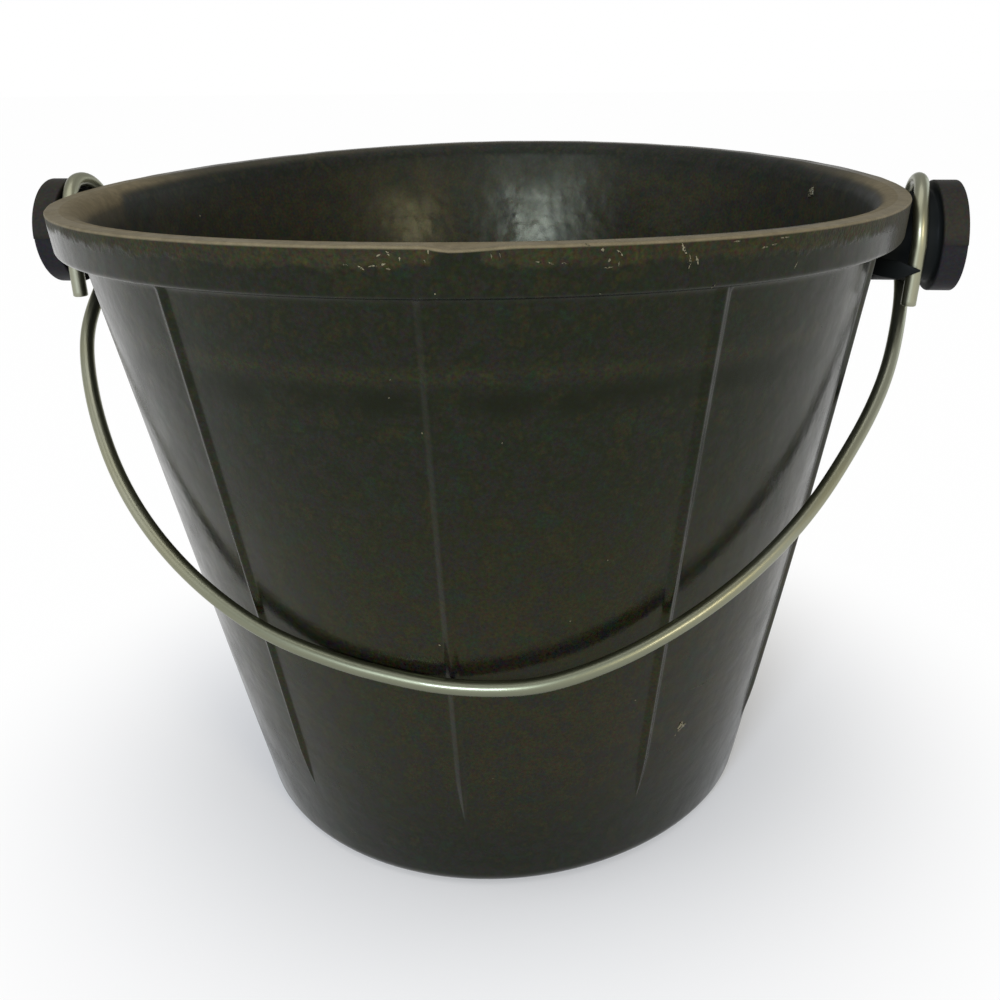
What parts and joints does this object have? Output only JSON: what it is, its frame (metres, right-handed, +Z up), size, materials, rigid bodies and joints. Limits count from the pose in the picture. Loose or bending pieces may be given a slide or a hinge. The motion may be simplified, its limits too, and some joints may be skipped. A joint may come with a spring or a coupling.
{
  "type": "rubber bucket",
  "caption": "Tapered round rubber bucket with a thick rim band, upright outside ribs and moulded side lugs, carried by a swinging steel wire bail.",
  "frame": {"origin": "centre of the underside, on the surface the bucket stands on", "axes": "+Z up along the bucket's axis, +X along the lug axis to the right lug, -Y to the front where the bail hangs"},
  "size_m": [0.358, 0.3198, 0.2553],
  "materials": {
    "rubber": "satin, dusty at the rim",
    "plated_wire": "bright zinc plate with a pale straw tint"
  },
  "bodies": {
    "body": {"bucket_body": "rubber"},
    "handle": {"bail": "plated_wire"}
  },
  "joints": [
    {"name": "bail_swing", "type": "hinge", "parent": "body", "child": "handle", "pos_m": [0, 0, 0.2325], "axis": [-1, 0, 0], "range_deg": [0, 270]}
  ]
}
